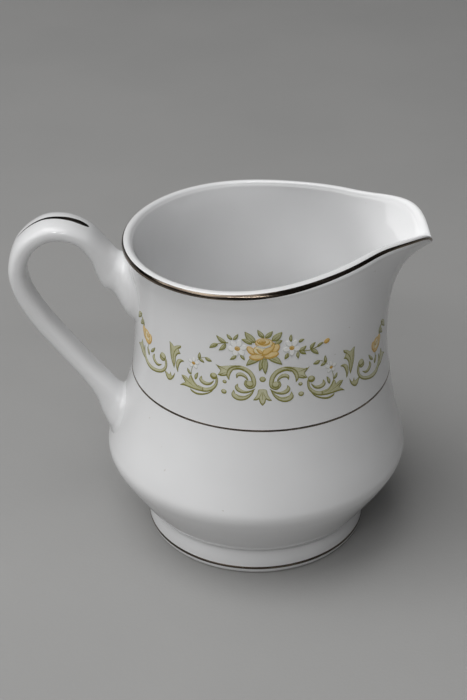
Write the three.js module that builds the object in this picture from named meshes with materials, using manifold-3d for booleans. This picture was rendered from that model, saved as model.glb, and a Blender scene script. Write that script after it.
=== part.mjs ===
// A porcelain cream jug: a slip-cast body with a pulled pouring lip, a turned
// foot ring, a strap handle luted on opposite the lip, platinum lines on the
// rim, waist, foot and handle, and a floral transfer on each side.
// Millimetres, +Z up, +X towards the lip. Pieces are modelled round the jug's
// own axis, and the finished group is then centred on its bounding box.

import * as THREE from 'three';
import { mergeVertices } from 'three/addons/utils/BufferGeometryUtils.js';
import Module from 'manifold-3d';

const wasm = await Module();
wasm.setup();

// ---- driving dimensions ----

const RIM_HEIGHT = 95;            // top of the lip on the handle side
const RIM_RADIUS = 39.4;          // outside of the lip, before it is shaped into the spout
const LIP_RADIUS = 1.45;          // half the thickness of the rounded lip
const WALL = 2 * LIP_RADIUS;      // cast wall thickness
const SEGMENTS = 60;              // facets round every turned piece

const LIP_CENTRE_RADIUS = RIM_RADIUS - LIP_RADIUS;
const LIP_CENTRE_HEIGHT = RIM_HEIGHT - LIP_RADIUS;

// Outside of the body as [radius, height], from the foot joint to the lip.
const BODY_OUTLINE = [
  [31.6, 8.4], [34.4, 10], [38.2, 15.5], [42.9, 23], [44.7, 27.5], [43.9, 32],
  [40.7, 42], [37.9, 53.7], [36.7, 66], [36.8, 80], [37.7, 88],
  [RIM_RADIUS, LIP_CENTRE_HEIGHT],
];
// Heights of the body's rows of facets, closest together round the belly.
const BODY_ROWS = [
  8.4, 10, 12.5, 15.5, 19, 22, 24.5, 26.5, 28.5, 30.5, 33, 37, 42, 48, 53.3, 54.1,
  56, 60, 66, 72, 77, 81, 85, 88, 90.5, LIP_CENTRE_HEIGHT,
];
const LIP_STEPS = 6;              // facets over the rounded lip
const FLOOR_HEIGHT = 11.6;        // inside bottom
const FLOOR_EDGE = 31;            // radius where the inside bottom turns up
const UNDERSIDE_HEIGHT = 7.6;     // outside bottom, within the foot ring

const SPOUT = {
  reach: 9.2,                     // how far the lip is pulled out
  halfAngle: 22.4,                // degrees
  sharpness: 3.1,
  pinch: 4.3,                     // how far the rim draws in beside the spout
  pinchAngle: 60.5,
  pinchSpread: 42,
  rise: 4.5,                      // how far the rim climbs towards the spout
  riseSpread: 71,
  dip: 6.4,                       // the notch that the liquid leaves by
  dipSpread: 9.4,
  throat: 52.9,                   // height where the wall starts to follow
  flare: 5.5,
  lift: 3.5,
};
const NECK_LEAN = 1.3;            // the neck and rim stand this far towards the spout
const LEAN_START = 30;
const LEAN_END = 54;

const FOOT = {
  outline: [
    [30.4, 0], [32.2, 0], [32.8, 0.5], [33.1, 1.3], [33.1, 2.9], [32.8, 4.4],
    [32.1, 6.4], [31.7, 8.2], [28.4, 8.2], [28.8, 4.6], [29.6, 1],
  ],
  lineRadius: 33.1,
};

const SKIN_GAP = 0.12;            // clearance under the bands and transfers
const BAND_THICKNESS = 0.15;
const TRANSFER_THICKNESS = 0.2;
const WAIST_LINE = [53.4, 54.0];
const FOOT_LINE = [1.8, 2.6];
const RIM_LINE_ANGLES = [-6, 21, 48];  // degrees up the outer shoulder of the lip

const TRANSFER_ROWS = [56, 60, 66, 72, 77, 81];
const TRANSFER_HALF_ANGLE = 72;   // degrees to each side of the jug's flank

const SEAT_GAP = 0.3;             // clearance of the handle on the body
const STRAP_POWER = 2.6;          // roundness of the strap's section
const STRAP_SIDES = 20;
const STRAP_STEPS = 44;
// Side view of the strap, from its lower root round to its upper root:
// [outer x, outer z, inner x, inner z, half width].
const STRAP = [
  [-37.0, 28.5, -35.0, 44.0, 10.0],
  [-43.0, 32.5, -38.4, 44.6, 7.8],
  [-45.8, 38.0, -40.6, 46.2, 6.2],
  [-47.8, 44.5, -43.2, 49.4, 5.6],
  [-51.6, 51.1, -47.3, 54.2, 5.4],
  [-58.0, 59.8, -53.7, 62.9, 5.3],
  [-64.5, 69.0, -60.0, 71.8, 5.3],
  [-69.2, 78.4, -64.2, 80.2, 5.4],
  [-70.4, 86.5, -65.0, 86.3, 5.6],
  [-67.4, 95.2, -62.6, 92.1, 6.0],
  [-60.3, 100.7, -58.3, 95.3, 6.4],
  [-53.5, 101.1, -54.3, 95.6, 6.6],
  [-47.2, 98.5, -50.3, 94.0, 6.6],
  [-42.9, 94.3, -47.0, 89.2, 6.3],
  [-40.5, 91.6, -45.6, 84.6, 6.0],
  [-39.2, 90.1, -43.9, 81.0, 5.9],
  [-38.2, 89.5, -41.0, 78.8, 6.2],
  [-37.3, 89.4, -38.6, 74.2, 7.2],
  [-36.2, 89.8, -36.4, 71.4, 9.0],
  [-33.0, 90.5, -33.0, 70.2, 11.0],
];
const STRIPE = {
  start: 0.475,                   // share of the way along the strap
  end: 0.634,
  steps: 18,
  halfWidth: 1.15,
  point: 0.06,                    // half width left at the ends
  widestFrom: 0.85,               // share of the stripe where it stops widening
  bluntness: 16,                  // power that rounds off the end near the root
};

const PORCELAIN = { color: 0xeeeeec, roughness: 0.12, metalness: 0 };
const UNGLAZED = { color: 0xe6e4df, roughness: 0.35, metalness: 0 };
const PLATINUM = { color: 0xb9b2a8, roughness: 0.1, metalness: 1 };
const ENAMEL = { color: 0xa9ad84, roughness: 0.3, metalness: 0 };

// ---- shape of the wall ----

const radians = THREE.MathUtils.degToRad;
const clamp = THREE.MathUtils.clamp;

function bell(value, spread, power = 2) {
  return Math.exp(-Math.pow(Math.abs(value) / spread, power));
}

// How far the rim at this angle stands out from, and above, a plain round rim.
function rimOffset(angle) {
  const degrees = Math.abs(THREE.MathUtils.radToDeg(angle));
  const out = SPOUT.reach * bell(degrees, SPOUT.halfAngle, SPOUT.sharpness)
    - SPOUT.pinch * bell(degrees - SPOUT.pinchAngle, SPOUT.pinchSpread);
  const up = SPOUT.rise * bell(degrees, SPOUT.riseSpread)
    - SPOUT.dip * bell(degrees, SPOUT.dipSpread);
  return { out, up };
}

// Moves a point of the plain turned jug to its place on the jug with a spout.
function pull(point) {
  const angle = Math.atan2(point.y, point.x);
  const radius = Math.hypot(point.x, point.y);
  const reach = clamp((point.z - SPOUT.throat) / (RIM_HEIGHT - 1 - SPOUT.throat), 0, 1.04);
  const lean = NECK_LEAN * clamp((point.z - LEAN_START) / (LEAN_END - LEAN_START), 0, 1);
  const { out, up } = rimOffset(angle);
  const pulled = radius < 1e-6 ? 0
    : radius + out * Math.pow(reach, SPOUT.flare) + lean * Math.cos(angle);
  const height = point.z + up * Math.pow(reach, SPOUT.lift);
  return new THREE.Vector3(pulled * Math.cos(angle), pulled * Math.sin(angle), height);
}

const outlineCurve = new THREE.SplineCurve(
  BODY_OUTLINE.map(([radius, height]) => new THREE.Vector2(radius, height)),
);
const outlineSamples = outlineCurve.getPoints(600);

// Outside of the plain turned body at a height, moved out along its normal.
function outsideAt(height, offset = 0) {
  const last = outlineSamples.length - 1;
  let index = outlineSamples.findIndex((sample) => sample.y >= height - 1e-9);
  index = clamp(index < 0 ? last : index, 1, last);
  const below = outlineSamples[index - 1];
  const above = outlineSamples[index];
  const share = (height - below.y) / (above.y - below.y);
  const normal = new THREE.Vector2(above.y - below.y, below.x - above.x).normalize();
  return below.clone().lerp(above, share).addScaledVector(normal, offset);
}

// ---- helpers ----

function deform(geometry, move) {
  const position = geometry.attributes.position;
  const point = new THREE.Vector3();
  for (let i = 0; i < position.count; i += 1) {
    point.fromBufferAttribute(position, i);
    const moved = move(point);
    position.setXYZ(i, moved.x, moved.y, moved.z);
  }
  return geometry;
}

function turned(profile) {
  const points = profile.map((p) => (Array.isArray(p) ? new THREE.Vector2(...p) : p));
  return new THREE.LatheGeometry(points, SEGMENTS).rotateX(Math.PI / 2);
}

function closedRing(profile) {
  return turned([...profile, profile[0]]);
}

function pulledRing(profile) {
  return deform(closedRing(profile), pull);
}

function toSolid(geometry) {
  const bare = geometry.clone();
  bare.deleteAttribute('normal');
  bare.deleteAttribute('uv');
  const merged = mergeVertices(bare, 1e-4);
  return new wasm.Manifold(new wasm.Mesh({
    numProp: 3,
    vertProperties: new Float32Array(merged.attributes.position.array),
    triVerts: new Uint32Array(merged.index.array),
  }));
}

function fromSolid(solid) {
  const mesh = solid.getMesh();
  const geometry = new THREE.BufferGeometry();
  geometry.setAttribute('position', new THREE.BufferAttribute(mesh.vertProperties, 3));
  geometry.setIndex(new THREE.BufferAttribute(mesh.triVerts, 1));
  geometry.computeVertexNormals();
  return geometry;
}

function lipPoint(degrees, radius = LIP_RADIUS) {
  return new THREE.Vector2(
    LIP_CENTRE_RADIUS + radius * Math.cos(radians(degrees)),
    LIP_CENTRE_HEIGHT + radius * Math.sin(radians(degrees)),
  );
}

// ---- body and foot ----

function makeBody() {
  const outside = BODY_ROWS.map((height) => outsideAt(height));
  const lip = [];
  for (let step = 1; step < LIP_STEPS; step += 1) {
    lip.push(lipPoint((180 * step) / LIP_STEPS));
  }
  const inside = BODY_ROWS.filter((height) => height > 12)
    .map((height) => outsideAt(height, -WALL))
    .filter((point) => point.y > FLOOR_HEIGHT + 1)
    .reverse();
  const underside = [[0, UNDERSIDE_HEIGHT], [27, UNDERSIDE_HEIGHT], [28.4, 8.4]];
  const floor = [[FLOOR_EDGE, FLOOR_HEIGHT + 0.7], [24, FLOOR_HEIGHT], [0, FLOOR_HEIGHT]];
  return deform(turned([...underside, ...outside, ...lip, ...inside, ...floor]), pull);
}

// The whole outside of the body as a solid, made larger all over by the gap.
function bodyBlank(gap) {
  const rows = BODY_ROWS.map((height) => outsideAt(height, gap));
  const profile = [[0, rows[0].y], ...rows, [0, rows[rows.length - 1].y]];
  return deform(turned(profile), pull);
}

// ---- platinum lines ----

function lineAround(heights) {
  const inner = heights.map((height) => outsideAt(height, SKIN_GAP));
  const outer = heights.map((height) => outsideAt(height, SKIN_GAP + BAND_THICKNESS));
  return pulledRing([...outer, ...inner.reverse()]);
}

function makeRimBand() {
  const near = LIP_RADIUS + SKIN_GAP;
  const outer = RIM_LINE_ANGLES.map((degrees) => lipPoint(degrees, near + BAND_THICKNESS));
  const inner = RIM_LINE_ANGLES.map((degrees) => lipPoint(degrees, near)).reverse();
  return pulledRing([...outer, ...inner]);
}

function makeFootBand() {
  const inner = FOOT.lineRadius + SKIN_GAP;
  const outer = inner + BAND_THICKNESS;
  const [low, high] = FOOT_LINE;
  return closedRing([[inner, low], [outer, low], [outer, high], [inner, high]]);
}

// ---- handle ----

const strapOuter = new THREE.CatmullRomCurve3(
  STRAP.map(([x, z]) => new THREE.Vector3(x, 0, z)), false, 'centripetal',
);
const strapInner = new THREE.CatmullRomCurve3(
  STRAP.map(([, , x, z]) => new THREE.Vector3(x, 0, z)), false, 'centripetal',
);
const strapWidth = new THREE.CatmullRomCurve3(
  STRAP.map(([, , , , width], i) => new THREE.Vector3(i, 0, width)),
);

function strapSection(along) {
  const outer = strapOuter.getPoint(along);
  const inner = strapInner.getPoint(along);
  return {
    centre: outer.clone().add(inner).multiplyScalar(0.5),
    reach: outer.clone().sub(inner).multiplyScalar(0.5),
    halfWidth: strapWidth.getPoint(along).z,
  };
}

function rounded(value) {
  return Math.sign(value) * Math.pow(Math.abs(value), 2 / STRAP_POWER);
}

// A unit cylinder carried along the strap, its round section made a flat one.
function makeStrap() {
  const cylinder = new THREE.CylinderGeometry(1, 1, 1, STRAP_SIDES, STRAP_STEPS);
  return deform(cylinder, (point) => {
    const section = strapSection(clamp(0.5 - point.y, 0, 1));
    const across = section.halfWidth * rounded(point.x);
    const place = section.centre.clone().addScaledVector(section.reach, rounded(point.z));
    return place.setY(across);
  });
}

function makeHandle() {
  return fromSolid(toSolid(makeStrap()).subtract(toSolid(bodyBlank(SEAT_GAP))));
}

// A stripe along the crest of the strap, widening from a point to a blunt end.
function makeStripe() {
  const box = new THREE.BoxGeometry(1, 1, 1, STRIPE.steps, 1, 1);
  return deform(box, (point) => {
    const share = point.x + 0.5;
    const along = THREE.MathUtils.lerp(STRIPE.start, STRIPE.end, share);
    const section = strapSection(along);
    const widening = Math.min(1, Math.pow(share / STRIPE.widestFrom, 0.9));
    const rounding = Math.sqrt(clamp(1 - Math.pow(share, STRIPE.bluntness), 0, 1));
    const halfWidth = STRIPE.point + (STRIPE.halfWidth - STRIPE.point) * widening * rounding;
    const rise = SKIN_GAP + BAND_THICKNESS * (point.z + 0.5);
    const direction = section.reach.clone().normalize();
    const place = section.centre.clone().add(section.reach).addScaledVector(direction, rise);
    return place.setY(2 * point.y * halfWidth);
  });
}

// ---- transfers ----

// A thin patch over one flank of the jug, following the wall facet by facet.
function makeTransfer(flankDegrees) {
  const columns = Math.round((2 * TRANSFER_HALF_ANGLE * SEGMENTS) / 360);
  const rows = TRANSFER_ROWS.length - 1;
  const box = new THREE.BoxGeometry(1, 1, 1, columns, 1, rows);
  return deform(box, (point) => {
    const angle = radians(flankDegrees + 2 * TRANSFER_HALF_ANGLE * point.x);
    const height = TRANSFER_ROWS[Math.round((point.z + 0.5) * rows)];
    const offset = SKIN_GAP + TRANSFER_THICKNESS * (0.5 - point.y);
    const wall = outsideAt(height, offset);
    return pull(new THREE.Vector3(wall.x * Math.cos(angle), wall.x * Math.sin(angle), wall.y));
  });
}

// ---- assembly ----

function piece(name, geometry, finish) {
  const mesh = new THREE.Mesh(geometry, new THREE.MeshStandardMaterial(finish));
  mesh.name = name;
  return mesh;
}

const jug = new THREE.Group();
jug.add(
  piece('body', makeBody(), PORCELAIN),
  piece('foot_ring', closedRing(FOOT.outline), UNGLAZED),
  piece('handle', makeHandle(), PORCELAIN),
  piece('rim_band', makeRimBand(), PLATINUM),
  piece('waist_band', lineAround(WAIST_LINE), PLATINUM),
  piece('foot_band', makeFootBand(), PLATINUM),
  piece('handle_stripe', makeStripe(), PLATINUM),
  piece('garland_front', makeTransfer(-90), ENAMEL),
  piece('garland_back', makeTransfer(90), ENAMEL),
);

const extent = new THREE.Box3().setFromObject(jug, true);
jug.position.x = -(extent.min.x + extent.max.x) / 2;

export default jug;
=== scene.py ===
"""A glazed porcelain cream jug with platinum lines and a floral transfer.

Shapes are worked out in millimetres round the jug's own axis, with +X towards
the spout, and are put into the frame in metres.
"""

import math

import bpy
import numpy as np
from mathutils import Matrix, Vector
from mathutils.geometry import delaunay_2d_cdt


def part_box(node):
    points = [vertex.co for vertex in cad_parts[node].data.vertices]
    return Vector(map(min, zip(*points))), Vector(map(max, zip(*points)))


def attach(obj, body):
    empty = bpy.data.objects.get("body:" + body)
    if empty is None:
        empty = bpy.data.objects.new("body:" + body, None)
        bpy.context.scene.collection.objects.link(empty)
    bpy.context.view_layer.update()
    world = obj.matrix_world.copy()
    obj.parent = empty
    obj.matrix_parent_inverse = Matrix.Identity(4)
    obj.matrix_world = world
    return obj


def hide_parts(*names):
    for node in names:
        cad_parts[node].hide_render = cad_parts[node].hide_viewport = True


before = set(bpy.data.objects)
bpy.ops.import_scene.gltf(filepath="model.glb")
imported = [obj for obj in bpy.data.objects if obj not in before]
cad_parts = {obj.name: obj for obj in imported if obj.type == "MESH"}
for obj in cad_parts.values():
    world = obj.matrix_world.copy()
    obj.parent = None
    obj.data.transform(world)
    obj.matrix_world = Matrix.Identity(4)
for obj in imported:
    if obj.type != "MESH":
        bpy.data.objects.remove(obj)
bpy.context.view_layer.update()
foot_low, foot_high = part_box("foot_ring")
AXIS = Vector(((foot_low.x + foot_high.x) / 2, (foot_low.y + foot_high.y) / 2, foot_low.z))
MM = 0.001

# ---- dimensions of the jug, in millimetres ----

BODY_OUTLINE = [
    (31.6, 8.4), (34.4, 10), (38.2, 15.5), (42.9, 23), (44.7, 27.5), (43.9, 32),
    (40.7, 42), (37.9, 53.7), (36.7, 66), (36.8, 80), (37.7, 88), (39.4, 93.55),
]
WALL = 2.9
LIP = (37.95, 93.55, 1.45)          # centre radius, centre height, radius
LIP_START = -17                     # degrees, where the lip takes over from the wall
INSIDE_BOTTOM = [
    (35.7, 16.6), (34.6, 14.9), (33.0, 13.4), (30.6, 12.3), (27.5, 11.8), (22, 11.6),
    (11, 11.6), (0, 11.6),
]
UNDERSIDE = [(0, 7.6), (14, 7.6), (27, 7.6), (29.5, 8.2)]
FOOT_OUTLINE = [
    (26.2, 7.6), (27.4, 7.5), (28.2, 7.0), (28.6, 5.8), (28.9, 4.2), (29.5, 1.4),
    (29.8, 0.5), (30.5, 0.0), (31.3, 0.0), (32.1, 0.0), (32.7, 0.45), (33.05, 1.2),
    (33.15, 2.2), (33.05, 3.2), (32.8, 4.5), (32.35, 5.8), (32.05, 6.9), (32.1, 7.8),
    (32.45, 8.6), (33.2, 9.28), (34.1, 9.8),
]
STRAP = [
    (-37.0, 28.5, -35.0, 44.0, 10.0), (-43.0, 32.5, -38.4, 44.6, 7.8),
    (-45.8, 38.0, -40.6, 46.2, 6.2), (-47.8, 44.5, -43.2, 49.4, 5.6),
    (-51.6, 51.1, -47.3, 54.2, 5.4), (-58.0, 59.8, -53.7, 62.9, 5.3),
    (-64.5, 69.0, -60.0, 71.8, 5.3), (-69.2, 78.4, -64.2, 80.2, 5.4),
    (-70.4, 86.5, -65.0, 86.3, 5.6), (-67.4, 95.2, -62.6, 92.1, 6.0),
    (-60.3, 100.7, -58.3, 95.3, 6.4), (-53.5, 101.1, -54.3, 95.6, 6.6),
    (-47.2, 98.5, -50.3, 94.0, 6.6), (-42.9, 94.3, -47.0, 89.2, 6.3),
    (-40.5, 91.6, -45.6, 84.6, 6.0), (-39.2, 90.1, -43.9, 81.0, 5.9),
    (-38.2, 89.5, -41.0, 78.8, 6.2), (-37.3, 89.4, -38.6, 74.2, 7.2),
    (-36.2, 89.8, -36.4, 71.4, 9.0), (-33.0, 90.5, -33.0, 70.2, 11.0),
]
STRAP_POWER = 2.6
STRIPE_START, STRIPE_END, STRIPE_HALF_WIDTH = 0.475, 0.634, 1.15
ROOT_FILLET = 1.2
ROOT_DEPTH = 0.9
SPOUT_REACH, SPOUT_HALF_ANGLE, SPOUT_SHARPNESS = 9.2, 22.4, 3.1   # the lip pulled out
PINCH, PINCH_ANGLE, PINCH_SPREAD = 4.3, 60.5, 42                  # drawn in beside the spout
RISE, RISE_SPREAD = 4.5, 71         # the rim climbs towards the spout
DIP, DIP_SPREAD = 6.4, 9.4          # the notch that the liquid leaves by
THROAT, THROAT_RUN = 52.9, 41.1     # where the wall starts to follow, and over what height
FLARE, LIFT = 5.5, 3.5              # how late it follows outwards and upwards
NECK_LEAN, LEAN_START, LEAN_RUN = 1.3, 30, 24
NECK_RADIUS = 37                    # at the height of the print
NOSE_REACH, NOSE_TURN, NOSE_SPREAD, NOSE_HALF_ANGLE = 0.95, -22, 36, 2.3
WAIST_LINE = (53.4, 54.0)
FOOT_LINE = (1.75, 2.65)
RIM_LINE = (-6, 48)                 # degrees round the lip
FILM = 0.035                        # how far a fired line or print stands proud
TURN = 264                          # facets round the body


# ---- shape of the wall ----

def catmull(points, steps):
    """A smooth line through the points, each span cut into the same number of steps."""
    points = np.array(points, float)
    padded = np.vstack([points[:1], points, points[-1:]])
    share = np.linspace(0, 1, steps, endpoint=False)[:, None]
    rows = []
    for i in range(len(points) - 1):
        a, b, c, d = padded[i:i + 4]
        start, end = (c - a) / 2, (d - b) / 2
        rows.append((2 * b - 2 * c + start + end) * share ** 3
                    + (3 * c - 3 * b - 2 * start - end) * share ** 2 + start * share + b)
    return np.vstack(rows + [points[-1:]])


def respace(line, gap):
    """The same line with its points about one gap apart."""
    run = np.concatenate([[0], np.cumsum(np.linalg.norm(np.diff(line, axis=0), axis=1))])
    count = max(2, int(math.ceil(run[-1] / gap)) + 1)
    at = np.linspace(0, run[-1], count)
    return np.stack([np.interp(at, run, line[:, k]) for k in range(line.shape[1])], 1)


OUTLINE = catmull(BODY_OUTLINE, 120)
_slope = np.gradient(OUTLINE, axis=0)
NORMAL = np.stack([_slope[:, 1], -_slope[:, 0]], 1)
NORMAL /= np.linalg.norm(NORMAL, axis=1)[:, None]


def outside_at(height, offset=0.0):
    """Radius and height of the plain turned wall, moved out along its normal."""
    radius = np.interp(height, OUTLINE[:, 1], OUTLINE[:, 0])
    across = np.interp(height, OUTLINE[:, 1], NORMAL[:, 0])
    upward = np.interp(height, OUTLINE[:, 1], NORMAL[:, 1])
    return radius + offset * across, height + offset * upward


def pull(radius, height, angle):
    """Moves points of the plain turned jug to their place on the jug with a spout."""
    degrees = np.abs(np.degrees((angle + np.pi) % (2 * np.pi) - np.pi))
    out = (SPOUT_REACH * np.exp(-(degrees / SPOUT_HALF_ANGLE) ** SPOUT_SHARPNESS)
           - PINCH * np.exp(-((degrees - PINCH_ANGLE) / PINCH_SPREAD) ** 2))
    up = RISE * np.exp(-(degrees / RISE_SPREAD) ** 2) - DIP * np.exp(-(degrees / DIP_SPREAD) ** 2)
    reach = np.clip((height - THROAT) / THROAT_RUN, 0, 1.04)
    lean = NECK_LEAN * np.clip((height - LEAN_START) / LEAN_RUN, 0, 1)
    moved = radius + (out * reach ** FLARE + lean * np.cos(angle)) * np.clip(radius, 0, 1)
    height = height + up * reach ** LIFT
    return np.stack([moved * np.cos(angle), moved * np.sin(angle), height], -1)


def on_wall(angle, height, lift=0.0):
    """Points standing off the outside of the finished wall."""
    radius, level = outside_at(np.asarray(height, float), lift)
    return pull(radius, level, np.asarray(angle, float))


# ---- meshes and pieces ----

def make_mesh(name, points, faces, values=None):
    """A mesh from points in millimetres round the jug's axis, with any point values."""
    mesh = bpy.data.meshes.new(name)
    placed = np.asarray(points, float) * MM + np.array(AXIS)
    mesh.from_pydata(placed.tolist(), [], faces)
    for key, value in (values or {}).items():
        mesh.attributes.new(key, "FLOAT", "POINT").data.foreach_set(
            "value", np.asarray(value, np.float32))
    mesh.validate()
    mesh.update()
    return mesh


def make_piece(name, mesh, material, slot, *nodes, crease=None):
    """A visible piece that rides on the jug and stands in for the named CAD nodes."""
    piece = bpy.data.objects.new(name, mesh)
    bpy.context.scene.collection.objects.link(piece)
    mesh.materials.append(material)
    mesh.shade_smooth()
    if crease:
        mesh.set_sharp_from_angle(angle=math.radians(crease))
    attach(piece, "root")
    if nodes:
        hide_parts(*nodes)
    return piece


def sweep(rows, closed=False):
    """Faces between rows of points that each go right round. Closed rows join up."""
    count, around = len(rows), len(rows[0])
    faces = []
    for i in range(count if closed else count - 1):
        low, high = i * around, ((i + 1) % count) * around
        for j in range(around):
            k = (j + 1) % around
            faces.append((low + j, low + k, high + k, high + j))
    return faces


def spread_angles(count, share=0.5):
    """Angles round the jug, closest together at the spout."""
    even = np.linspace(-np.pi, np.pi, count, endpoint=False)
    return even - share * np.sin(even)


ANGLES = spread_angles(TURN)


# ---- body ----

def drip_nose(points, radius, height, angle):
    """Rounds the lip outwards at the very tip of the spout, where the last drop hangs."""
    turn = math.degrees(math.atan2(height - LIP[1], radius - LIP[0]))
    outside = radius > LIP[0] - 1 and height > 90
    low = math.exp(-((turn - NOSE_TURN) / NOSE_SPREAD) ** 2) if outside else 0
    near = np.exp(-(np.degrees(angle) / NOSE_HALF_ANGLE) ** 2)
    points[:, 0] += NOSE_REACH * low * near
    return points


def body_profile():
    lip_from = LIP[1] + LIP[2] * math.sin(math.radians(LIP_START))
    heights = respace(OUTLINE[OUTLINE[:, 1] <= lip_from], 0.75)[:, 1]
    outside = [outside_at(h) for h in heights]
    turns = np.radians(np.linspace(LIP_START, 180 + LIP_START, 28))
    lip = [(LIP[0] + LIP[2] * math.cos(t), LIP[1] + LIP[2] * math.sin(t)) for t in turns[1:-1]]
    inside = [outside_at(h, -WALL) for h in heights[::-1]]
    inside = [p for p in inside if p[1] > INSIDE_BOTTOM[0][1] + 0.8]
    bottom = respace(catmull(INSIDE_BOTTOM, 12), 1.2)
    under = respace(catmull(UNDERSIDE, 6), 1.6)
    return [tuple(p) for p in under[1:]] + outside[1:] + lip + inside + \
        [tuple(p) for p in bottom[:-1]]


def make_body(material):
    profile = body_profile()
    rows = []
    for radius, height in profile:
        row = pull(np.full(TURN, float(radius)), np.full(TURN, float(height)), ANGLES)
        rows.append(drip_nose(row, radius, height, ANGLES))
    points = np.vstack(rows + [[[0, 0, UNDERSIDE[0][1]]], [[0, 0, INSIDE_BOTTOM[-1][1]]]])
    faces = sweep(rows)
    under, floor, last = len(points) - 2, len(points) - 1, (len(rows) - 1) * TURN
    for j in range(TURN):
        k = (j + 1) % TURN
        faces.append((under, k, j))
        faces.append((floor, last + j, last + k))
    mesh = make_mesh("body_porcelain", points, faces)
    return make_piece("body_porcelain", mesh, material, "porcelain_body", "body")


def make_foot(material):
    line = respace(catmull(FOOT_OUTLINE, 12), 0.35)
    buried = [(33.6, 10.2), (30.5, 9.9), (27.5, 9.2), (26.4, 8.4)]
    rows = [np.stack([r * np.cos(ANGLES), r * np.sin(ANGLES), np.full(TURN, max(z, 0.0))], -1)
            for r, z in list(line) + buried]
    mesh = make_mesh("foot_ring_porcelain", np.vstack(rows), sweep(rows, closed=True))
    return make_piece("foot_ring_porcelain", mesh, material, "porcelain_foot", "foot_ring")


# ---- handle ----

def rail(columns):
    """A centripetal curve through stations, as a function of the share along it."""
    stations = np.array([[row[c] for c in columns] for row in STRAP], float)
    ends = np.vstack([2 * stations[0] - stations[1], stations,
                      2 * stations[-1] - stations[-2]])

    def at(share):
        place = min(max(share, 0), 1) * (len(stations) - 1)
        i = min(int(place), len(stations) - 2)
        a, b, c, d = ends[i:i + 4]
        ab, bc, cd = (math.sqrt(max(np.linalg.norm(q - p), 1e-9))
                      for p, q in ((a, b), (b, c), (c, d)))
        start = ((b - a) / ab - (c - a) / (ab + bc) + (c - b) / bc) * bc
        end = ((c - b) / bc - (d - b) / (bc + cd) + (d - c) / cd) * bc
        t = place - i
        return ((2 * b - 2 * c + start + end) * t ** 3
                + (3 * c - 3 * b - 2 * start - end) * t ** 2 + start * t + b)

    return at


OUTER_RAIL, INNER_RAIL = rail((0, 1)), rail((2, 3))


def half_width(share):
    """Half the strap's width at a share of the way along it."""
    place = np.linspace(0, 1, len(STRAP))
    fine = catmull([(p, row[4]) for p, row in zip(place, STRAP)], 8)
    return float(np.interp(share, fine[:, 0], fine[:, 1]))


def strap_point(share, turn, inset=1.0):
    """A point on the strap's flattened section, or on a smaller copy of it."""
    outer, inner = OUTER_RAIL(share), INNER_RAIL(share)
    centre, reach = (outer + inner) / 2, (outer - inner) / 2
    across = math.copysign(abs(math.sin(turn)) ** (2 / STRAP_POWER), math.sin(turn))
    along = math.copysign(abs(math.cos(turn)) ** (2 / STRAP_POWER), math.cos(turn))
    place = centre + reach * along * inset
    return np.array([place[0], half_width(share) * across * inset, place[1]])


def wall_clearance(point):
    """Distance of a point outside the wall, and the direction out of the wall there."""
    angle = math.atan2(point[1], point[0])
    heights = np.linspace(14, 93, 160)
    line = on_wall(np.full(160, angle), heights)
    radii = np.hypot(line[:, 0], line[:, 1])
    reach = float(np.interp(point[2], line[:, 2], radii))
    slope = float(np.interp(point[2] + 0.5, line[:, 2], radii)
                  - np.interp(point[2] - 0.5, line[:, 2], radii))
    tilt = 1 / math.sqrt(1 + slope * slope)
    normal = np.array([math.cos(angle) * tilt, math.sin(angle) * tilt, -slope * tilt])
    return (math.hypot(point[0], point[1]) - reach) * tilt, normal


def seat(point, centre):
    """Blends the strap into the wall with a fillet, and keeps its root within the wall."""
    gap, normal = wall_clearance(point)
    if gap < ROOT_FILLET:
        away = point - centre
        away = away - normal * away.dot(normal)
        size = np.linalg.norm(away)
        near = ROOT_FILLET - max(gap, 0.0)
        push = ROOT_FILLET - math.sqrt(ROOT_FILLET ** 2 - near ** 2)
        if size > 1e-6:
            point = point + away / size * push * min(1.0, size / 2)
            gap, normal = wall_clearance(point)
    if gap < -ROOT_DEPTH:
        point = point + normal * (-ROOT_DEPTH - gap)
    return point


def strap_stations():
    """Shares along the strap, closest together at its two roots."""
    dense_low = np.linspace(0, 0.2, 70, endpoint=False)
    middle = np.linspace(0.2, 0.74, 110, endpoint=False)
    return np.concatenate([dense_low, middle, np.linspace(0.74, 1, 90)])


def make_handle(material):
    sides = 56
    turns = np.linspace(0, 2 * np.pi, sides, endpoint=False)
    rows = []
    for share in strap_stations():
        centre = (OUTER_RAIL(share) + INNER_RAIL(share)) / 2
        centre = np.array([centre[0], 0, centre[1]])
        ring = [strap_point(share, t) for t in turns]
        if share < 0.3 or share > 0.7:
            ring = [seat(p, centre) for p in ring]
        rows.append(np.array(ring))
    for end, share in ((0, 0.0), (len(rows), 1.0)):
        caps = [np.array([seat(strap_point(share, t, inset), np.zeros(3)) for t in turns])
                for inset in (0.8, 0.6, 0.4, 0.2, 0.03)]
        rows = caps[::-1] + rows if end == 0 else rows + caps
    faces = sweep(rows)
    faces.append(tuple(range(sides))[::-1])
    faces.append(tuple(range((len(rows) - 1) * sides, len(rows) * sides)))
    faces = [f[::-1] for f in faces]
    mesh = make_mesh("handle_porcelain", np.vstack(rows), faces)
    return make_piece("handle_porcelain", mesh, material, "porcelain_handle", "handle")


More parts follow.
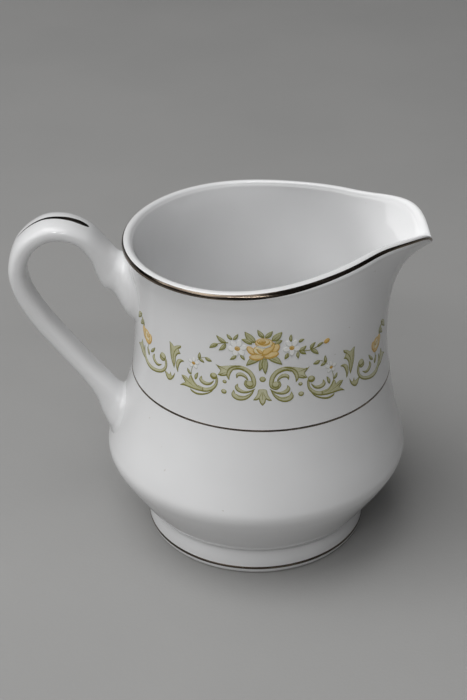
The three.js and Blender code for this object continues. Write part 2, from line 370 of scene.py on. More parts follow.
def make_stripe(material):
    """A stripe on the crest of the strap, widening from a point to a blunt end."""
    steps, columns = 90, 9
    rows = []
    for i in range(steps + 1):
        share = i / steps
        along = STRIPE_START + (STRIPE_END - STRIPE_START) * share
        swell = min(1.0, (share / 0.85) ** 0.9) * max(1 - share ** 16, 0) ** 0.5
        wobble = 1 + 0.05 * math.sin(9 * share + 1) + 0.03 * math.sin(31 * share)
        width = 0.05 + (STRIPE_HALF_WIDTH - 0.05) * swell * wobble
        outer, inner = OUTER_RAIL(along), INNER_RAIL(along)
        centre, reach = (outer + inner) / 2, (outer - inner) / 2
        out = reach / np.linalg.norm(reach)
        ring = []
        for side, lift in ((1, FILM), (-1, -0.12)):
            for k in range(columns):
                y = (2 * k / (columns - 1) - 1) * width * side
                dome = (1 - abs(y / half_width(along)) ** STRAP_POWER) ** (1 / STRAP_POWER)
                edge = FILM * (abs(y) / width) ** 6 if side > 0 else 0
                place = centre + reach * dome + out * (lift - edge)
                ring.append((place[0], y, place[1]))
        rows.append(np.array(ring))
    faces = sweep(rows)
    faces.append(tuple(range(2 * columns))[::-1])
    faces.append(tuple(range(steps * 2 * columns, (steps + 1) * 2 * columns)))
    mesh = make_mesh("stripe_platinum", np.vstack(rows), faces)
    return make_piece("stripe_platinum", mesh, material, "platinum", "handle_stripe", crease=50)


# ---- platinum lines ----

def brushed_edge(seed):
    """The slight wander of a line laid with a brush on a turning wheel."""
    waves = ((2, 0.5), (5, 0.3), (11, 0.2), (23, 0.12))
    return sum(size * np.sin(n * ANGLES + seed * n) for n, size in waves)


def film_profile(low, high, feather):
    """Places across a line and the share of the film's height that it has there."""
    return [(low - feather * 0.4, -3.0), (low, 0.1), (low + feather, 1.0),
            ((low + high) / 2, 1.05), (high - feather, 1.0), (high, 0.1),
            (high + feather * 0.4, -3.0)]


def make_line(name, node, low, high, place, material, wander):
    rows = []
    middle = (low + high) / 2
    for at, share in film_profile(low, high, (high - low) * 0.12):
        drift = wander * (brushed_edge(1.3) + np.sign(at - middle) * brushed_edge(4.1))
        rows.append(place(at + drift, FILM * share))
    rows.append(place(high + 0 * ANGLES, -0.12))
    rows.append(place(low + 0 * ANGLES, -0.12))
    mesh = make_mesh(name, np.vstack(rows), [f[::-1] for f in sweep(rows, closed=True)])
    return make_piece(name, mesh, material, "platinum", node, crease=60)


def rim_place(degrees, lift):
    """The line narrows on to the upper shoulder of the lip towards the spout."""
    low, high = RIM_LINE
    spout = 1 / (1 + np.exp((np.abs(np.degrees(ANGLES)) - 72) / 9))
    turn = np.radians(degrees + 24 * spout * (high - degrees) / (high - low))
    reach = LIP[2] + lift
    return pull(LIP[0] + reach * np.cos(turn), LIP[1] + reach * np.sin(turn), ANGLES)


def foot_place(height, lift):
    line = catmull(FOOT_OUTLINE, 12)
    outer = line[(line[:, 0] > 31.5) & (line[:, 1] < 8)]
    radius = np.interp(height, outer[:, 1], outer[:, 0]) + lift
    return np.stack([radius * np.cos(ANGLES), radius * np.sin(ANGLES), height + 0 * ANGLES], -1)


def make_lines(material):
    make_line("rim_platinum", "rim_band", *RIM_LINE, rim_place, material, 1.1)
    make_line("waist_platinum", "waist_band", *WAIST_LINE,
              lambda height, lift: on_wall(ANGLES, height, lift), material, 0.03)
    make_line("foot_platinum", "foot_band", *FOOT_LINE, foot_place, material, 0.03)


# ---- the floral print, drawn flat ----
# Across is millimetres along the wall from the middle of the print, and up is
# height. A shape is (kind, outline, tone): tone runs from pale to strong.

class Drawing:
    def __init__(self):
        self.shapes = []
        self.side = 1

    def add(self, kind, outline, tone=0.5):
        outline = respace(np.vstack([outline, outline[:1]]), 0.17)[:-1]
        self.shapes.append((kind, outline * (self.side, 1), tone))

    def blade(self, kind, *arcs, tone=0.5):
        """A shape bounded by smooth arcs that meet at points."""
        self.add(kind, np.vstack([catmull(arc, 10)[:-1] for arc in arcs]), tone)

    def ribbon(self, kind, path, widths, tone=0.5):
        """A band along a smooth path, its width changing on the way."""
        line = catmull([(*p, w) for p, w in zip(path, widths)], 10)
        along = np.gradient(line[:, :2], axis=0)
        normal = np.stack([-along[:, 1], along[:, 0]], 1)
        normal /= np.linalg.norm(normal, axis=1)[:, None]
        reach = normal * np.maximum(line[:, 2:], 0.04) / 2
        self.add(kind, np.vstack([line[:, :2] + reach, (line[:, :2] - reach)[::-1]]), tone)

    def leaf(self, base, tip, width, bow=0.0, tone=0.5, kind="leaf", vein=True):
        """A pointed leaf, bowed to one side, with a midrib."""
        base, tip = np.array(base, float), np.array(tip, float)
        run = tip - base
        side = np.array([-run[1], run[0]])
        share = np.linspace(0, 1, 22)[:, None]
        spine = base + run * share + side * bow * 4 * share * (1 - share)
        swell = np.sin(np.pi * share ** 0.8) ** 0.85 * width / 2
        reach = side / np.linalg.norm(side) * np.maximum(swell, 0.03)
        self.add(kind, np.vstack([spine + reach, (spine - reach)[::-1]]), tone)
        if vein and width > 0.95:
            self.ribbon("line", spine[1:17:5], (0.2, 0.16, 0.12, 0.05))

    def oval(self, kind, centre, long, short, degrees=0.0, tone=0.5):
        t = np.linspace(0, 2 * np.pi, 40, endpoint=False)
        c, s = math.cos(math.radians(degrees)), math.sin(math.radians(degrees))
        x, y = long * np.cos(t), short * np.sin(t)
        self.add(kind, np.stack([centre[0] + c * x - s * y, centre[1] + s * x + c * y], 1), tone)

    def daisy(self, centre, reach, petals, turn):
        for k in range(petals):
            t = math.radians(turn + 360 * k / petals)
            out = (math.cos(t), math.sin(t))
            middle = (centre[0] + out[0] * reach * 0.6, centre[1] + out[1] * reach * 0.6)
            self.oval("daisy", middle, reach * 0.44, reach * 0.33, math.degrees(t))
        self.oval("bloom", centre, reach * 0.3, reach * 0.27, 0, 0.9)
        self.oval("bloom", (centre[0] - 0.05, centre[1] + 0.06), reach * 0.14, reach * 0.12, 0, 0.2)


def draw_rose(d):
    for base, tip, width, bow in (
        ((-2.0, 80.7), (-4.9, 83.8), 1.9, 0.05), ((-2.9, 80.2), (-5.8, 81.4), 1.35, -0.06),
        ((0.3, 82.2), (-1.5, 84.5), 1.3, 0.05), ((0.6, 82.2), (2.6, 84.1), 1.3, -0.05),
        ((2.4, 81.3), (5.2, 83.7), 1.8, -0.04), ((3.2, 80.0), (5.3, 81.3), 1.2, 0.05),
        ((-0.4, 76.4), (-4.5, 73.5), 2.0, -0.08), ((0.0, 76.2), (-0.95, 72.1), 1.5, 0.03),
        ((0.7, 76.2), (0.75, 71.1), 1.6, -0.03), ((1.2, 76.5), (5.3, 74.0), 1.9, 0.08),
    ):
        d.leaf(base, tip, width, bow, tone=0.55)
    d.oval("bloom", (-3.2, 78.2), 1.5, 0.9, -48, 0.55)
    d.oval("bloom", (3.5, 79.0), 1.5, 0.95, 62, 0.75)
    d.oval("bloom", (-0.1, 78.4), 2.6, 1.6, 4, 0.1)
    d.oval("bloom", (-1.7, 76.25), 2.0, 0.9, 3, 0.6)
    d.oval("bloom", (2.3, 77.0), 2.1, 0.92, 16, 0.7)
    d.blade("bloom", [(-0.2, 77.1), (0.9, 77.0), (2.3, 78.0), (3.2, 79.4), (3.1, 80.8)],
            [(3.1, 80.8), (2.1, 80.2), (1.0, 79.2), (0.0, 78.3), (-0.2, 77.1)], tone=0.9)
    d.blade("bloom", [(-1.9, 78.9), (-1.4, 78.0), (-0.8, 77.4), (0.1, 77.3)],
            [(0.1, 77.3), (-0.2, 78.1), (-0.8, 78.6), (-1.9, 78.9)], tone=0.7)
    d.oval("bloom", (0.35, 80.55), 2.45, 1.5, -2, 0.35)
    d.blade("daisy", [(-2.0, 80.0), (-1.0, 79.25), (0.6, 79.1), (2.4, 79.8)],
            [(2.4, 79.8), (1.6, 79.9), (0.2, 79.5), (-2.0, 80.0)])
    d.oval("bloom", (0.2, 80.9), 1.75, 1.0, -2, 0.3)
    d.oval("bloom", (-0.1, 80.95), 0.95, 0.7, 10, 0.7)
    d.oval("bloom", (0.0, 81.0), 0.5, 0.36, 10, 0.15)


def draw_sprigs(d):
    d.daisy((-6.9, 78.5), 2.55, 6, 12)
    d.daisy((7.9, 78.9), 2.4, 5, 54)
    for base, tip, width, bow in (
        ((-9.9, 79.7), (-12.7, 81.6), 1.25, 0.08), ((-10.1, 79.5), (-12.1, 77.1), 1.2, 0.08),
        ((-12.3, 79.0), (-14.8, 77.2), 1.2, -0.05), ((-8.3, 81.0), (-9.8, 82.5), 0.95, 0.05),
        ((-8.0, 81.0), (-6.7, 82.9), 0.9, -0.05), ((-7.2, 76.4), (-9.0, 74.8), 0.95, 0.06),
        ((-6.1, 76.6), (-4.9, 75.1), 0.85, 0.05), ((7.6, 80.7), (7.7, 82.8), 0.95, 0.04),
        ((9.8, 80.3), (11.4, 81.0), 0.85, 0.06), ((6.9, 77.4), (5.9, 75.6), 1.05, 0.05),
        ((9.9, 77.7), (12.0, 79.0), 1.15, -0.07), ((10.0, 77.6), (12.0, 76.5), 1.05, 0.06),
        ((9.7, 77.5), (9.7, 75.5), 0.95, -0.05), ((13.2, 77.7), (14.7, 79.6), 1.05, 0.08),
        ((13.4, 77.5), (15.7, 75.8), 1.2, 0.08), ((15.2, 78.1), (17.1, 79.1), 0.8, 0.04),
    ):
        d.leaf(base, tip, width, bow, tone=0.5)
    d.ribbon("line", [(-9.4, 79.9), (-10.8, 79.6), (-12.4, 79.1)], (0.16, 0.14, 0.1))
    d.ribbon("line", [(9.4, 77.8), (11.4, 77.6), (13.4, 77.6), (15.4, 78.2), (17.2, 78.9)],
             (0.16, 0.15, 0.14, 0.13, 0.1))
    d.oval("bloom", (18.2, 79.2), 0.95, 0.6, 25, 1.0)


def draw_great_scroll(d):
    d.ribbon("scroll", [(4.5, 68.9), (4.75, 67.7), (3.8, 66.75), (2.6, 67.2), (2.35, 68.6),
                        (2.9, 70.5), (4.2, 72.0), (6.2, 72.75), (8.2, 72.3), (9.2, 71.0),
                        (9.5, 69.6), (9.2, 68.3)],
             (0.5, 0.7, 0.9, 1.05, 1.2, 1.3, 1.3, 1.15, 1.3, 1.3, 1.0, 0.1), tone=0.55)
    d.blade("scroll",
            [(5.6, 73.3), (8.0, 73.1), (10.2, 72.6), (12.0, 72.2), (13.1, 72.6)],
            [(13.1, 72.6), (12.4, 71.7), (11.7, 70.9)],
            [(11.7, 70.9), (12.0, 70.1), (12.6, 69.3)],
            [(12.6, 69.3), (11.3, 69.15), (9.8, 69.6)],
            [(9.8, 69.6), (9.4, 71.2), (8.3, 72.3), (6.4, 72.9), (5.6, 73.3)], tone=0.35)
    d.oval("scroll", (3.55, 67.85), 1.1, 1.0, 20, 0.4)
    d.ribbon("line", [(2.9, 68.4), (3.4, 70.3), (4.6, 71.5), (6.4, 72.1), (7.9, 71.6)],
             (0.1, 0.16, 0.18, 0.16, 0.06))
    d.ribbon("line", [(12.4, 72.2), (10.8, 71.7), (9.6, 71.3)], (0.3, 0.14, 0.06))
    d.ribbon("line", [(11.9, 69.5), (10.8, 70.2), (9.9, 70.5)], (0.3, 0.14, 0.06))
    d.ribbon("scroll", [(4.0, 68.9), (4.7, 70.0), (5.8, 70.6), (6.8, 70.3), (7.1, 69.2)],
             (0.3, 0.8, 1.15, 1.0, 0.1), tone=0.3)
    d.ribbon("scroll", [(2.0, 66.5), (3.3, 65.6), (5.0, 65.2), (6.4, 65.6), (7.1, 66.5), (6.8, 67.6)],
             (0.15, 0.5, 0.85, 1.2, 1.05, 0.1), tone=0.5)
    d.ribbon("scroll", [(2.3, 66.1), (3.3, 64.6), (4.8, 63.45), (6.6, 63.25), (7.9, 64.0), (7.9, 65.5)],
             (0.15, 0.75, 1.25, 1.65, 1.35, 0.1), tone=0.45)
    d.ribbon("line", [(3.1, 64.9), (4.8, 63.8), (6.4, 63.7), (7.3, 64.3)], (0.06, 0.16, 0.16, 0.06))
    d.oval("scroll", (10.5, 67.6), 0.6, 0.55, 0, 0.35)
    d.oval("scroll", (10.7, 64.5), 0.78, 0.72, 0, 0.35)


def draw_side_scroll(d):
    d.ribbon("scroll", [(14.3, 69.3), (14.5, 68.5), (13.8, 67.9), (12.9, 68.3), (12.8, 67.0),
                        (13.3, 65.6), (14.6, 64.3), (16.4, 63.6), (18.4, 63.6)],
             (0.3, 0.55, 0.7, 0.75, 0.7, 0.9, 1.1, 1.3, 1.7), tone=0.45)
    d.oval("scroll", (13.6, 68.8), 0.95, 0.85, 0, 0.4)
    d.blade("scroll",
            [(16.8, 64.15), (18.4, 64.3), (19.7, 65.3), (20.7, 67.0)],
            [(20.7, 67.0), (21.3, 66.1), (21.5, 65.2)],
            [(21.5, 65.2), (22.6, 65.9), (24.0, 65.7)],
            [(24.0, 65.7), (23.4, 64.7), (22.6, 63.9)],
            [(22.6, 63.9), (23.6, 63.2), (24.6, 62.3)],
            [(24.6, 62.3), (22.8, 62.7), (20.6, 62.7), (18.4, 62.7), (16.8, 62.95)], tone=0.6)
    d.ribbon("line", [(20.6, 66.5), (19.9, 65.0), (18.6, 64.0), (16.6, 63.6)], (0.3, 0.18, 0.14, 0.05))
    d.ribbon("line", [(23.4, 65.4), (21.6, 64.4), (19.4, 63.5)], (0.3, 0.16, 0.05))
    d.ribbon("scroll", [(13.2, 65.3), (14.5, 63.5), (16.4, 62.3), (18.6, 61.7), (20.3, 62.0), (20.9, 62.5)],
             (0.1, 0.3, 0.45, 0.6, 0.55, 0.15), tone=0.4)
    d.ribbon("scroll", [(13.6, 67.2), (14.7, 66.0), (16.3, 65.7), (17.5, 66.4), (17.3, 67.7)],
             (0.15, 0.7, 1.15, 1.15, 0.1), tone=0.4)
    d.daisy((19.8, 70.9), 1.8, 5, 20)
    for base, tip, width, bow in (
        ((19.3, 65.9), (18.4, 68.4), 0.95, -0.06), ((20.7, 67.0), (21.9, 68.7), 0.9, -0.08),
        ((18.2, 72.8), (17.8, 75.0), 0.95, 0.06), ((18.1, 72.8), (16.4, 72.0), 0.95, -0.06),
        ((16.2, 73.8), (14.1, 73.1), 1.15, 0.05),
    ):
        d.leaf(base, tip, width, bow, tone=0.5)
    d.ribbon("line", [(20.6, 67.1), (20.5, 68.5), (20.1, 69.8)], (0.14, 0.12, 0.08))
    d.ribbon("line", [(18.6, 72.2), (17.4, 73.3), (16.0, 73.8)], (0.1, 0.13, 0.1))


def draw_acanthus(d):
    d.blade("scroll",
            [(26.7, 66.7), (26.2, 68.6), (25.9, 70.6), (25.0, 71.8), (24.1, 72.2)],
            [(24.1, 72.2), (24.6, 72.8), (24.9, 73.5)],
            [(24.9, 73.5), (24.1, 74.1), (23.9, 74.9)],
            [(23.9, 74.9), (25.2, 74.5), (26.6, 73.6)],
            [(26.6, 73.6), (27.2, 74.2), (28.2, 74.6)],
            [(28.2, 74.6), (28.1, 73.2), (28.1, 71.2), (27.6, 68.8), (26.7, 66.7)], tone=0.5)
    d.ribbon("line", [(26.9, 67.6), (26.9, 70.2), (26.2, 72.4), (24.6, 74.2)], (0.1, 0.2, 0.22, 0.1))
    d.ribbon("line", [(27.4, 69.4), (27.5, 71.6), (27.7, 73.9)], (0.06, 0.16, 0.1))
    d.ribbon("scroll", [(25.3, 66.0), (25.5, 67.6), (25.1, 69.2), (24.2, 70.1), (23.0, 70.3)],
             (0.1, 0.9, 1.25, 0.95, 0.1), tone=0.5)
    d.blade("scroll",
            [(26.4, 65.4), (26.7, 64.0), (27.7, 62.6), (28.9, 62.1), (29.8, 62.8)],
            [(29.8, 62.8), (30.1, 63.5), (30.8, 64.6)],
            [(30.8, 64.6), (29.5, 64.1), (28.7, 63.8)],
            [(28.7, 63.8), (28.3, 64.3), (28.2, 65.0)],
            [(28.2, 65.0), (27.7, 64.0), (27.1, 64.2), (26.4, 65.4)], tone=0.6)


def draw_end_scroll(d):
    d.ribbon("scroll", [(32.3, 68.6), (32.3, 67.5), (31.3, 67.3), (30.3, 68.0), (29.9, 66.6),
                        (30.4, 64.9), (32.0, 63.4), (34.4, 62.4), (36.9, 62.0), (39.2, 62.4),
                        (40.7, 63.6), (41.3, 65.4), (41.0, 67.0)],
             (0.3, 0.6, 0.8, 0.85, 0.8, 0.9, 1.0, 1.1, 1.3, 1.4, 1.2, 0.8, 0.1), tone=0.4)
    d.oval("scroll", (31.15, 68.55), 1.15, 1.0, 0, 0.35)
    d.ribbon("scroll", [(31.9, 65.5), (33.3, 64.7), (34.7, 64.8), (35.7, 65.8), (35.3, 67.2)],
             (0.15, 0.7, 1.05, 1.2, 0.1), tone=0.5)
    for base, tip, width, bow in (
        ((37.3, 66.9), (34.9, 69.4), 1.0, 0.05), ((38.3, 65.2), (39.4, 67.4), 1.1, 0.06),
        ((40.9, 74.6), (43.6, 72.6), 1.5, 0.05), ((42.2, 76.6), (45.6, 73.6), 1.7, 0.05),
        ((41.0, 73.2), (42.4, 75.6), 1.3, 0.04),
    ):
        d.leaf(base, tip, width, bow, tone=0.4)
    d.blade("scroll",
            [(40.6, 62.8), (42.8, 63.4), (44.6, 64.6), (46.2, 65.0)],
            [(46.2, 65.0), (44.8, 65.8), (43.6, 66.6), (43.0, 67.9)],
            [(43.0, 67.9), (42.3, 66.4), (41.6, 64.8), (40.6, 62.8)], tone=0.4)
    d.ribbon("line", [(39.0, 66.6), (38.7, 68.2), (38.6, 69.4)], (0.12, 0.14, 0.1))
    d.oval("bloom", (37.7, 70.7), 1.85, 1.05, -66, 0.7)
    d.oval("bloom", (40.7, 71.2), 2.1, 1.15, 68, 0.75)
    d.oval("bloom", (39.2, 71.8), 1.6, 1.1, 10, 0.85)
    d.oval("bloom", (39.1, 70.6), 1.9, 1.25, 84, 0.05)
    d.oval("bloom", (38.9, 71.3), 0.75, 0.45, 60, 0.6)
    d.blade("bloom", [(37.0, 70.2), (38.0, 68.8), (39.8, 68.8), (41.7, 70.8)],
            [(41.7, 70.8), (40.2, 70.1), (38.6, 69.9), (37.0, 70.2)], tone=0.9)


def draw_print():
    d = Drawing()
    d.blade("scroll",
            [(0.0, 66.5), (1.1, 66.2), (1.5, 64.7), (2.6, 62.9)],
            [(2.6, 62.9), (1.7, 62.9), (0.95, 63.3)],
            [(0.95, 63.3), (0.7, 62.2), (0.0, 61.3)],
            [(0.0, 61.3), (-0.7, 62.2), (-0.95, 63.3)],
            [(-0.95, 63.3), (-1.7, 62.9), (-2.6, 62.9)],
            [(-2.6, 62.9), (-1.5, 64.7), (-1.1, 66.2), (0.0, 66.5)], tone=0.35)
    for side in (-1, 0, 1):
        d.ribbon("line", [(0.25 * side, 65.6), (0.5 * side, 64.6), (1.1 * side, 63.6 - 0.6 * (side == 0))],
                 (0.05, 0.14, 0.06))
    d.oval("scroll", (0, 69.5), 0.88, 0.84, 0, 0.7)
    for side in (-1, 1):
        d.side = side
        for draw in (draw_great_scroll, draw_side_scroll, draw_acanthus, draw_end_scroll):
            draw(d)
    d.side = 1
    draw_sprigs(d)
    draw_rose(d)
    return d.shapes


# ---- the print fired on to the wall ----

PRINT_TILT = -0.036                 # the transfer was slid on slightly askew
PRINT_SHIFT = -0.2
SHADE_DROP = -0.21                  # shapes are shaded more along their lower edges


def edge_distance(points, outline):
    """How far each point lies from the nearest edge of a closed outline."""
    ends = np.roll(outline, -1, axis=0)
    run = ends - outline
    span = np.maximum((run ** 2).sum(1), 1e-12)
    offset = points[:, None, :] - outline[None]
    share = np.clip((offset * run[None]).sum(2) / span[None], 0, 1)
    near = outline[None] + run[None] * share[..., None]
    return np.sqrt(((points[:, None, :] - near) ** 2).sum(2)).min(1)


def within(points, outline):
    """Which points lie inside a closed outline, by counting crossings."""
    x, y = points[:, :1], points[:, 1:]
    ends = np.roll(outline, -1, axis=0)
    (x0, y0), (x1, y1) = outline.T, ends.T
    crosses = (y0 > y) != (y1 > y)
    rise = np.where(np.abs(y1 - y0) < 1e-12, 1e-12, y1 - y0)
    return (crosses & (x < (x1 - x0) * (y - y0) / rise + x0)).sum(1) % 2 == 1


def fill_shape(outline):
    """Triangles over a shape, with points inside it to carry its shading."""
    gap = 0.23
    low, high = outline.min(0), outline.max(0)
    xs, ys = np.arange(low[0], high[0], gap), np.arange(low[1], high[1], gap * 0.866)
    grid = np.array([(x + gap / 2 * (j % 2), y) for j, y in enumerate(ys) for x in xs])
    if len(grid):
        grid = grid[within(grid, outline)]
    if len(grid):
        grid = grid[edge_distance(grid, outline) > 0.1]
    points = np.vstack([outline, grid]) if len(grid) else outline
    count = len(outline)
    edges = [(i, (i + 1) % count) for i in range(count)]
    found = delaunay_2d_cdt([Vector(p) for p in points], edges, [list(range(count))], 1, 1e-5)
    flat = np.array([tuple(p) for p in found[0]])
    return flat, [tuple(f) for f in found[2]]


def boundary(faces):
    """Edges that belong to one face only."""
    seen = {}
    for face in faces:
        for a, b in zip(face, face[1:] + face[:1]):
            seen[(a, b)] = True
    return [(a, b) for a, b in seen if (b, a) not in seen]


def wall_angle(across, flank):
    """Arc length along the leaning neck, as an angle round the jug."""
    turn = across / NECK_RADIUS
    lean = NECK_LEAN * (1 - np.cos(turn)) * (-1 if flank < 0 else 1)
    return math.radians(flank) + (across + lean) / NECK_RADIUS


def fire_print(shapes, flank, kinds, name, material, node=None):
    """Lays the shapes of some kinds on one flank of the jug as thin closed shells."""
    points, faces, depth, tones = [], [], [], []
    base = 0
    for order, (kind, outline, tone) in enumerate(shapes):
        if kind not in kinds:
            continue
        flat, fill = fill_shape(outline)
        area = sum((flat[b] - flat[a])[0] * (flat[c] - flat[a])[1]
                   - (flat[b] - flat[a])[1] * (flat[c] - flat[a])[0] for a, b, c in fill)
        fill = fill if area > 0 else [f[::-1] for f in fill]
        inset = np.zeros(len(flat))
        if kind != "line":
            looked = flat + (0, SHADE_DROP)
            inset = edge_distance(looked, outline) * within(looked, outline)
        across = flat[:, 0] + PRINT_SHIFT
        height = flat[:, 1] + PRINT_TILT * flat[:, 0]
        angle = wall_angle(across, flank)
        top = on_wall(angle, height, 0.018 + 0.0007 * order)
        under = on_wall(angle, height, -0.05)
        count = len(flat)
        points += [top, under]
        faces += [tuple(base + i for i in f) for f in fill]
        faces += [tuple(base + count + i for i in f[::-1]) for f in fill]
        faces += [(base + b, base + a, base + count + a, base + count + b)
                  for a, b in boundary(fill)]
        depth += [inset, inset]
        tones += [np.full(count, tone)] * 2
        base += 2 * count
    mesh = make_mesh(name, np.vstack(points), faces,
                     {"Depth": np.concatenate(depth), "Tone": np.concatenate(tones)})
    nodes = (node,) if node else ()
    return make_piece(name, mesh, material, "enamel_transfer", *nodes, crease=40)


def make_prints(scroll, leaf, bloom, daisy):
    shapes = draw_print()
    for side, flank in (("front", -90), ("back", 90)):
        fire_print(shapes, flank, ("scroll", "line"), side + "_scrolls", scroll, "garland_" + side)
        fire_print(shapes, flank, ("leaf",), side + "_leaves", leaf)
        fire_print(shapes, flank, ("bloom",), side + "_blooms", bloom)
        fire_print(shapes, flank, ("daisy",), side + "_daisies", daisy)


# ---- materials ----

class Nodes:
    """A material's node tree with short ways to add to it."""

    def __init__(self, name):
        self.material = bpy.data.materials.new(name)
        self.material.use_nodes = True
        self.tree = self.material.node_tree
        self.tree.nodes.clear()
        self.shader = self.tree.nodes.new("ShaderNodeBsdfPrincipled")
        output = self.tree.nodes.new("ShaderNodeOutputMaterial")
        self.link(self.shader.outputs[0], output.inputs["Surface"])
        self.place = self.tree.nodes.new("ShaderNodeTexCoord").outputs["Object"]

    def link(self, source, target):
        self.tree.links.new(source, target)

    def noise(self, scale, detail=3.0, roughness=0.5, stretch=None):
        node = self.tree.nodes.new("ShaderNodeTexNoise")
        node.inputs["Scale"].default_value = scale
        node.inputs["Detail"].default_value = detail
        node.inputs["Roughness"].default_value = roughness
        place = self.place
        if stretch:
            mapping = self.tree.nodes.new("ShaderNodeMapping")
            mapping.inputs["Scale"].default_value = stretch
            self.link(place, mapping.inputs["Vector"])
            place = mapping.outputs["Vector"]
        self.link(place, node.inputs["Vector"])
        return node.outputs["Fac"]

    def spread(self, source, low, high, start, end):
        """Maps a value's range on to another, held at its ends."""
        node = self.tree.nodes.new("ShaderNodeMapRange")
        node.interpolation_type = "SMOOTHSTEP"
        for key, value in (("From Min", low), ("From Max", high), ("To Min", start), ("To Max", end)):
            node.inputs[key].default_value = value
        self.link(source, node.inputs["Value"])
        return node.outputs["Result"]

    def mix(self, share, first, second):
        node = self.tree.nodes.new("ShaderNodeMix")
        node.data_type = "RGBA"
        factor, colour_a, colour_b = node.inputs[0], node.inputs[6], node.inputs[7]
        for value, socket in ((share, factor), (first, colour_a), (second, colour_b)):
            self.put(value, socket)
        return node.outputs[2]

    def put(self, value, socket):
        if isinstance(value, bpy.types.NodeSocket):
            self.link(value, socket)
        elif isinstance(value, tuple):
            socket.default_value = (*value, 1.0)
        else:
            socket.default_value = value

    def attribute(self, name):
        node = self.tree.nodes.new("ShaderNodeAttribute")
        node.attribute_name = name
        return node.outputs["Fac"]

    def math(self, kind, a, b):
        node = self.tree.nodes.new("ShaderNodeMath")
        node.operation = kind
        self.put(a, node.inputs[0])
        self.put(b, node.inputs[1])
        return node.outputs[0]

    def height(self):
        node = self.tree.nodes.new("ShaderNodeSeparateXYZ")
        self.link(self.place, node.inputs[0])
        return node.outputs["Z"]

    def bump(self, source, distance, strength):
        node = self.tree.nodes.new("ShaderNodeBump")
        node.inputs["Distance"].default_value = distance
        node.inputs["Strength"].default_value = strength
        self.link(source, node.inputs["Height"])
        self.link(node.outputs["Normal"], self.shader.inputs["Normal"])

    def surface(self, **values):
        for key, value in values.items():
            self.put(value, self.shader.inputs[key.replace("_", " ")])


def glaze(name, tint, foot=False):
    """Feldspathic glaze over white porcelain: glossy, faintly uneven, hardly tinted."""
    n = Nodes(name)
    cloud = n.spread(n.noise(34, 2), 0.35, 0.65, 0, 1)
    colour = n.mix(cloud, tint, tuple(c * 0.965 for c in tint))
    speck = n.spread(n.noise(900, 0), 0.875, 0.9, 0, 0.4)
    colour = n.mix(speck, colour, (0.50, 0.46, 0.40))
    gloss = n.spread(n.noise(120, 3), 0.3, 0.7, 0.045, 0.085)
    if foot:
        bare = n.spread(n.height(), 0.00025, 0.0006, 1, 0)
        grain = n.spread(n.noise(2600, 4), 0.3, 0.7, 0, 1)
        colour = n.mix(bare, colour, n.mix(grain, (0.70, 0.67, 0.62), (0.60, 0.56, 0.50)))
        gloss = n.spread(bare, 0, 1, 0.07, 0.55)
    n.surface(Base_Color=colour, Roughness=gloss, IOR=1.52)
    n.bump(n.math("ADD", n.noise(70, 2), n.math("MULTIPLY", n.noise(420, 2), 0.12)), 0.0004, 0.12)
    return n.material


def platinum():
    """A thin fired platinum film, bright where it mirrors a light; its colour is painted dark as a
    reflection of a dark room, with painted streaks of reflection.
    """
    n = Nodes("platinum_film")
    # Painted reflection: lighter streaks over a dark base colour that stands for a dark room mirrored in
    # the film; the streaks also vary the roughness.
    painted_reflection_streaks = n.spread(n.noise(260, 4, 0.6, (0.25, 0.25, 5)), 0.36, 0.66, 0, 1)
    wear = n.spread(n.noise(900, 3), 0.60, 0.74, 0, 0.45)
    colour = n.mix(painted_reflection_streaks, (0.075, 0.058, 0.047), (0.27, 0.22, 0.17))
    colour = n.mix(wear, colour, (0.50, 0.45, 0.38))
    n.surface(Base_Color=colour, Metallic=1.0, Roughness=n.spread(painted_reflection_streaks, 0, 1, 0.10, 0.22))
    n.bump(n.noise(800, 3), 0.00005, 0.25)
    return n.material


def enamel(name, edge, pale, strong, reach, gloss=0.2):
    """Screen-printed enamel: outlined, shaded in towards the middle, finely grained."""
    n = Nodes(name)
    depth = n.math("ADD", n.attribute("Depth"), n.spread(n.noise(2200, 2), 0.3, 0.7, -0.04, 0.04))
    inner = n.spread(depth, 0.03, reach, 0, 1)
    fill = n.mix(n.attribute("Tone"), pale, strong)
    grain = n.spread(n.noise(5200, 2), 0.42, 0.66, 0, 0.35)
    fill = n.mix(grain, fill, tuple(0.5 * (a + b) for a, b in zip(edge, strong)))
    wash = n.spread(n.noise(700, 2), 0.35, 0.7, 0, 0.3)
    fill = n.mix(wash, fill, pale)
    n.surface(Base_Color=n.mix(inner, edge, fill), Roughness=gloss, IOR=1.5)
    n.bump(n.noise(1600, 2), 0.00004, 0.2)
    return n.material


def floor_paper():
    n = Nodes("floor_paper")
    colour = n.mix(n.spread(n.noise(9, 4), 0.3, 0.7, 0, 1), (0.375, 0.372, 0.366), (0.355, 0.353, 0.348))
    n.surface(Base_Color=colour, Roughness=0.85)
    n.bump(n.noise(900, 3), 0.0002, 0.2)
    return n.material


# ---- the stage ----

def make_floor():
    mesh = bpy.data.meshes.new("floor")
    size = 5.0
    corners = [(-size, -size, 0), (size, -size, 0), (size, size, 0), (-size, size, 0)]
    mesh.from_pydata(corners, [], [(0, 1, 2, 3)])
    mesh.materials.append(floor_paper())
    floor = bpy.data.objects.new("floor", mesh)
    floor.location.z = AXIS.z - 0.00005
    bpy.context.scene.collection.objects.link(floor)


def make_light(name, place, aim, width, height, power, tint=(1, 1, 1)):
    light = bpy.data.lights.new(name, "AREA")
    light.shape = "RECTANGLE"
    light.size, light.size_y, light.energy, light.color = width, height, power, tint
    lamp = bpy.data.objects.new(name, light)
    lamp.location = place
    lamp.rotation_mode = "QUATERNION"
    lamp.rotation_quaternion = (Vector(aim) - Vector(place)).to_track_quat("-Z", "Y")
    bpy.context.scene.collection.objects.link(lamp)


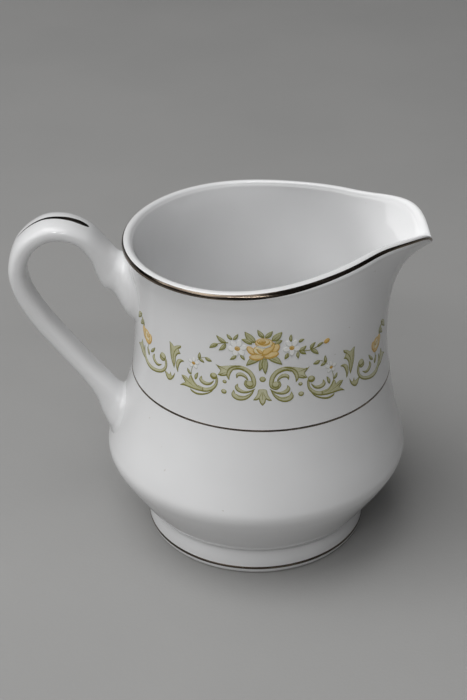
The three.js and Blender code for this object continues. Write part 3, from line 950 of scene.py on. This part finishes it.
def make_lights():
    make_light("softbox", (-0.64, -0.36, 1.05), (0, 0, 0.06), 1.5, 1.5, 11.6)
    make_light("strip", (-0.06, -0.86, 0.84), (0, 0, 0.06), 0.55, 0.05, 1.9)
    make_light("overhead", (-0.30, -0.10, 1.55), (0, 0, 0.06), 1.1, 1.1, 7.3)
    world = bpy.data.worlds.new("studio")
    world.use_nodes = True
    shade = world.node_tree.nodes["Background"]
    shade.inputs["Color"].default_value = (0.80, 0.81, 0.83, 1)
    shade.inputs["Strength"].default_value = 0.06
    bpy.context.scene.world = world


def make_camera():
    data = bpy.data.cameras.new("camera")
    data.lens = 77.14
    data.clip_start = 0.01
    camera = bpy.data.objects.new("camera", data)
    heading, pitch, roll = math.radians(1.984), math.radians(30.595), math.radians(-0.247)
    turn = (Matrix.Rotation(-heading, 4, "Z") @ Matrix.Rotation(math.pi / 2 - pitch, 4, "X")
            @ Matrix.Rotation(roll, 4, "Z"))
    camera.matrix_world = Matrix.Translation(AXIS + Vector((-0.01989, -0.37958, 0.28186))) @ turn
    bpy.context.scene.collection.objects.link(camera)
    bpy.context.scene.camera = camera


# ---- assembly ----

PORCELAIN = (0.83, 0.832, 0.836)
make_body(glaze("glaze_body", PORCELAIN))
make_foot(glaze("glaze_foot", PORCELAIN, foot=True))
make_handle(glaze("glaze_handle", PORCELAIN))
metal = platinum()
make_lines(metal)
make_stripe(metal)
make_prints(
    enamel("enamel_scroll", (0.21, 0.20, 0.03), (0.68, 0.67, 0.50), (0.47, 0.45, 0.20), 0.42),
    enamel("enamel_leaf", (0.20, 0.20, 0.035), (0.62, 0.61, 0.43), (0.42, 0.41, 0.19), 0.42),
    enamel("enamel_bloom", (0.55, 0.32, 0.05), (0.88, 0.82, 0.58), (0.81, 0.52, 0.13), 0.48),
    enamel("enamel_daisy", (0.62, 0.63, 0.60), (0.93, 0.93, 0.92), (0.90, 0.90, 0.88), 0.24, 0.12),
)
make_floor()
make_lights()
make_camera()
bpy.context.scene.view_settings.view_transform = "Standard"
